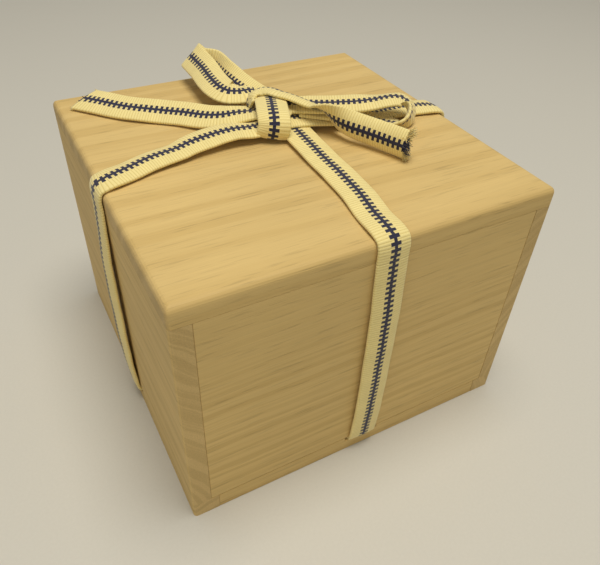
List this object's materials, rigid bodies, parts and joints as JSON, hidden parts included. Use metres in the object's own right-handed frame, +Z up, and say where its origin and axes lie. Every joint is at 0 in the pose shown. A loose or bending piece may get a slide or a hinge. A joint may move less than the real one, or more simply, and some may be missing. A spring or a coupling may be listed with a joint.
{
  "type": "boxed glass tea bowl",
  "caption": "Glass tea bowl in its square paulownia box: wrapping cloth inside, battened lid, tied with a flat woven cord in a bow.",
  "frame": {"origin": "middle of the face that the box rests on, at the underside of its foot ring", "axes": "+X to the right along the front, which is the box's longest side by a millimetre; +Y from the front to the back; +Z up. The front of the box faces -Y."},
  "size_m": [0.1496, 0.1474, 0.1207],
  "materials": {
    "paulownia": "planed, unvarnished, satin",
    "paulownia_inside": "planed, unvarnished, paler than the outside",
    "woven_cord": "flat ribbed cotton weave with a dark blue barred stripe down the middle",
    "bowl_glass": "clear blown glass with a faint green-blue tint",
    "cotton_cloth": "plain woven cotton, turmeric yellow"
  },
  "bodies": {
    "box": {"wall_left": "paulownia", "wall_right": "paulownia", "wall_front": "paulownia", "wall_back": "paulownia", "base_board": "paulownia_inside", "foot_left": "paulownia", "foot_right": "paulownia", "foot_front": "paulownia", "foot_back": "paulownia", "cord_under_left_right": "woven_cord", "cord_under_front_back": "woven_cord", "cord_side_left": "woven_cord", "cord_side_right": "woven_cord", "cord_side_front": "woven_cord", "cord_side_back": "woven_cord", "wrapping_cloth": "cotton_cloth"},
    "lid": {"lid_board": "paulownia", "batten_left": "paulownia_inside", "batten_right": "paulownia_inside", "batten_front": "paulownia_inside", "batten_back": "paulownia_inside", "cord_top_front_back": "woven_cord", "cord_top_left_right": "woven_cord", "bow_knot_band": "woven_cord", "bow_knot_core": "woven_cord", "bow_tail_left": "woven_cord", "bow_tail_right": "woven_cord", "bow_loop_left": "woven_cord", "bow_loop_right": "woven_cord"},
    "bowl": {"tea_bowl": "bowl_glass"}
  },
  "joints": [
    {"name": "lid_lift", "type": "slide", "parent": "box", "child": "lid", "axis": [0, 0, 1], "range_m": [0, 0.135], "deforming": ["cord_side_left", "cord_side_right", "cord_side_front", "cord_side_back"]},
    {"name": "bowl_lift", "type": "slide", "parent": "box", "child": "bowl", "axis": [0, 0, 1], "range_m": [0, 0.0905]}
  ],
  "couplings": [
    {"joint": "bowl_lift", "follows": "lid_lift", "ratio": 0.6667}
  ]
}
